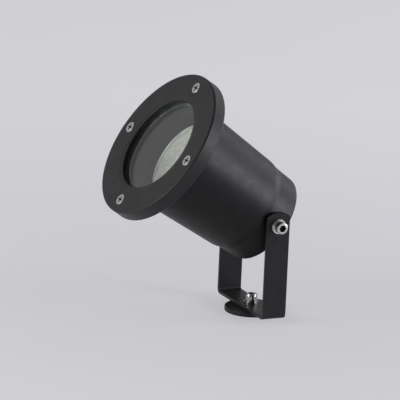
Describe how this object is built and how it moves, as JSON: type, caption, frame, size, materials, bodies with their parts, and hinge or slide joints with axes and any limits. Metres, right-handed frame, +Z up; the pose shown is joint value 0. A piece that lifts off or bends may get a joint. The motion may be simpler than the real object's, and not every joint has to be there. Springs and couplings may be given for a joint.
{
  "type": "garden spotlight",
  "caption": "Black outdoor spotlight: a cast lamp head with a screwed front bezel and glass, tilting in a bent strip bracket that swivels on a small round foot.",
  "frame": {"origin": "middle of the foot's underside", "axes": "+Z is up, the head looks along -Y and up, and the tilt axis lies along X"},
  "size_m": [0.096, 0.1162, 0.1473],
  "materials": {
    "black_casting": "cast, black powder coat, satin",
    "black_strip": "bent steel strip, black powder coat, satin",
    "stainless": "plain stainless steel, turned",
    "clear_glass": "clear toughened glass, ground edge",
    "pale_silicone": "pale moulded silicone, matt",
    "black_rubber": "black rubber, matt",
    "lamp_glass": "pressed glass with a bright inner coat",
    "lamp_cover": "frosted glass",
    "white_ceramic": "white ceramic, unglazed",
    "nickelled_brass": "nickelled brass",
    "plated_steel": "zinc plated sheet steel",
    "white_nylon": "white moulded nylon",
    "lead_sleeve": "woven heat-proof sleeve",
    "black_nylon": "black moulded nylon"
  },
  "bodies": {
    "foot": {"foot_disc": "black_strip", "base_bolt": "stainless", "base_spring_washer": "stainless", "base_flat_washer": "stainless"},
    "bracket": {"u_bracket": "black_strip"},
    "head": {"bezel_screws": "stainless", "bracket_screws": "plated_steel", "earth_screw": "nickelled_brass", "earth_tag": "nickelled_brass", "flange_gasket": "black_rubber", "front_bezel": "black_casting", "gland_body": "black_nylon", "gland_dome_nut": "black_nylon", "gland_locknut": "black_nylon", "gland_oring": "black_rubber", "gland_seal": "black_rubber", "holder_bracket": "plated_steel", "holder_screws": "plated_steel", "lamp_cap": "white_ceramic", "lamp_cover": "lamp_cover", "lamp_housing": "black_casting", "lamp_leads": "lead_sleeve", "lamp_pins": "nickelled_brass", "lamp_reflector": "lamp_glass", "lampholder": "white_ceramic", "lens_gasket": "pale_silicone", "lens_glass": "clear_glass", "pivot_bolts": "stainless", "pivot_flat_washers": "stainless", "pivot_spring_washers": "stainless", "terminal_block": "white_nylon", "terminal_screws": "nickelled_brass"}
  },
  "joints": [
    {"name": "bracket_swivel", "type": "hinge", "parent": "foot", "child": "bracket", "pos_m": [0, 0, 0], "axis": [0, 0, 1], "continuous": true},
    {"name": "head_tilt", "type": "hinge", "parent": "bracket", "child": "head", "pos_m": [0, 0, 0.061], "axis": [-1, 0, 0], "range_deg": [-35.5, 144.5]}
  ]
}
